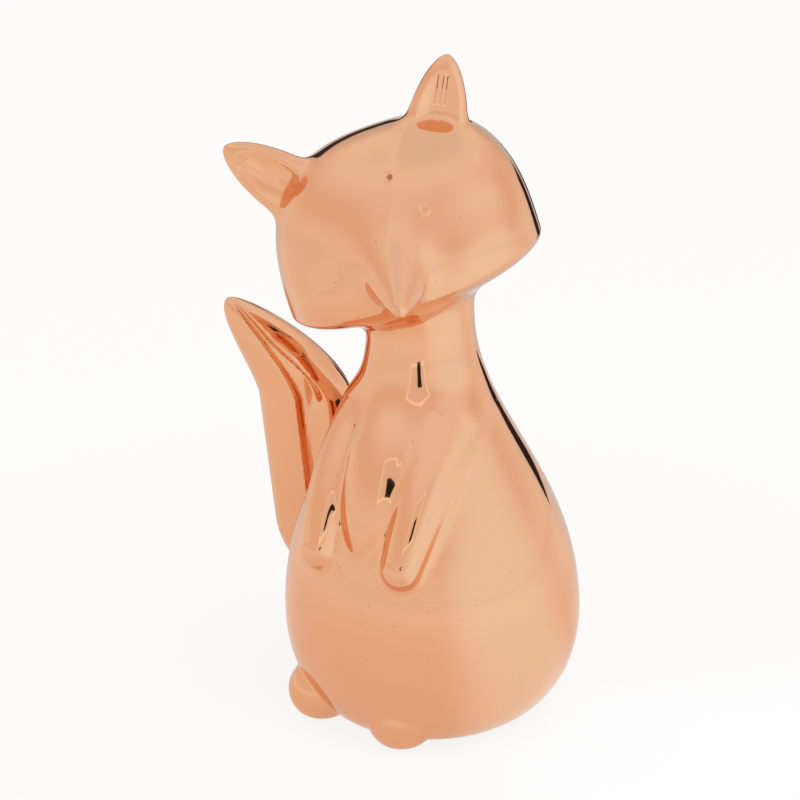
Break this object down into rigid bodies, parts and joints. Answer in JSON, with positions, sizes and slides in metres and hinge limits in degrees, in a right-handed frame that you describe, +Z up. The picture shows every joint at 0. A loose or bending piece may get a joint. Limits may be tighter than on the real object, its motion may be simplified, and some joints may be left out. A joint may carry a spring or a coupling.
{
  "type": "fox figurine",
  "caption": "Sitting fox ornament of plated glazed ceramic, with a tilted head, a curled leaf-shaped tail and a flat base.",
  "frame": {"origin": "centre of the foot ring that the figurine stands on, in the plane of its base", "axes": "+Z up along the figurine's height, -Y the way the chest faces, +X the fox's left side"},
  "size_m": [0.1091, 0.0909, 0.2006],
  "materials": {
    "plated_glaze": "mirror-bright copper plating over glazed earthenware"
  },
  "bodies": {
    "root": {"torso": "plated_glaze", "head": "plated_glaze", "chest_bib": "plated_glaze", "left_arm": "plated_glaze", "right_arm": "plated_glaze", "left_foot": "plated_glaze", "right_foot": "plated_glaze", "left_ear": "plated_glaze", "right_ear": "plated_glaze", "tail": "plated_glaze"}
  },
  "joints": []
}
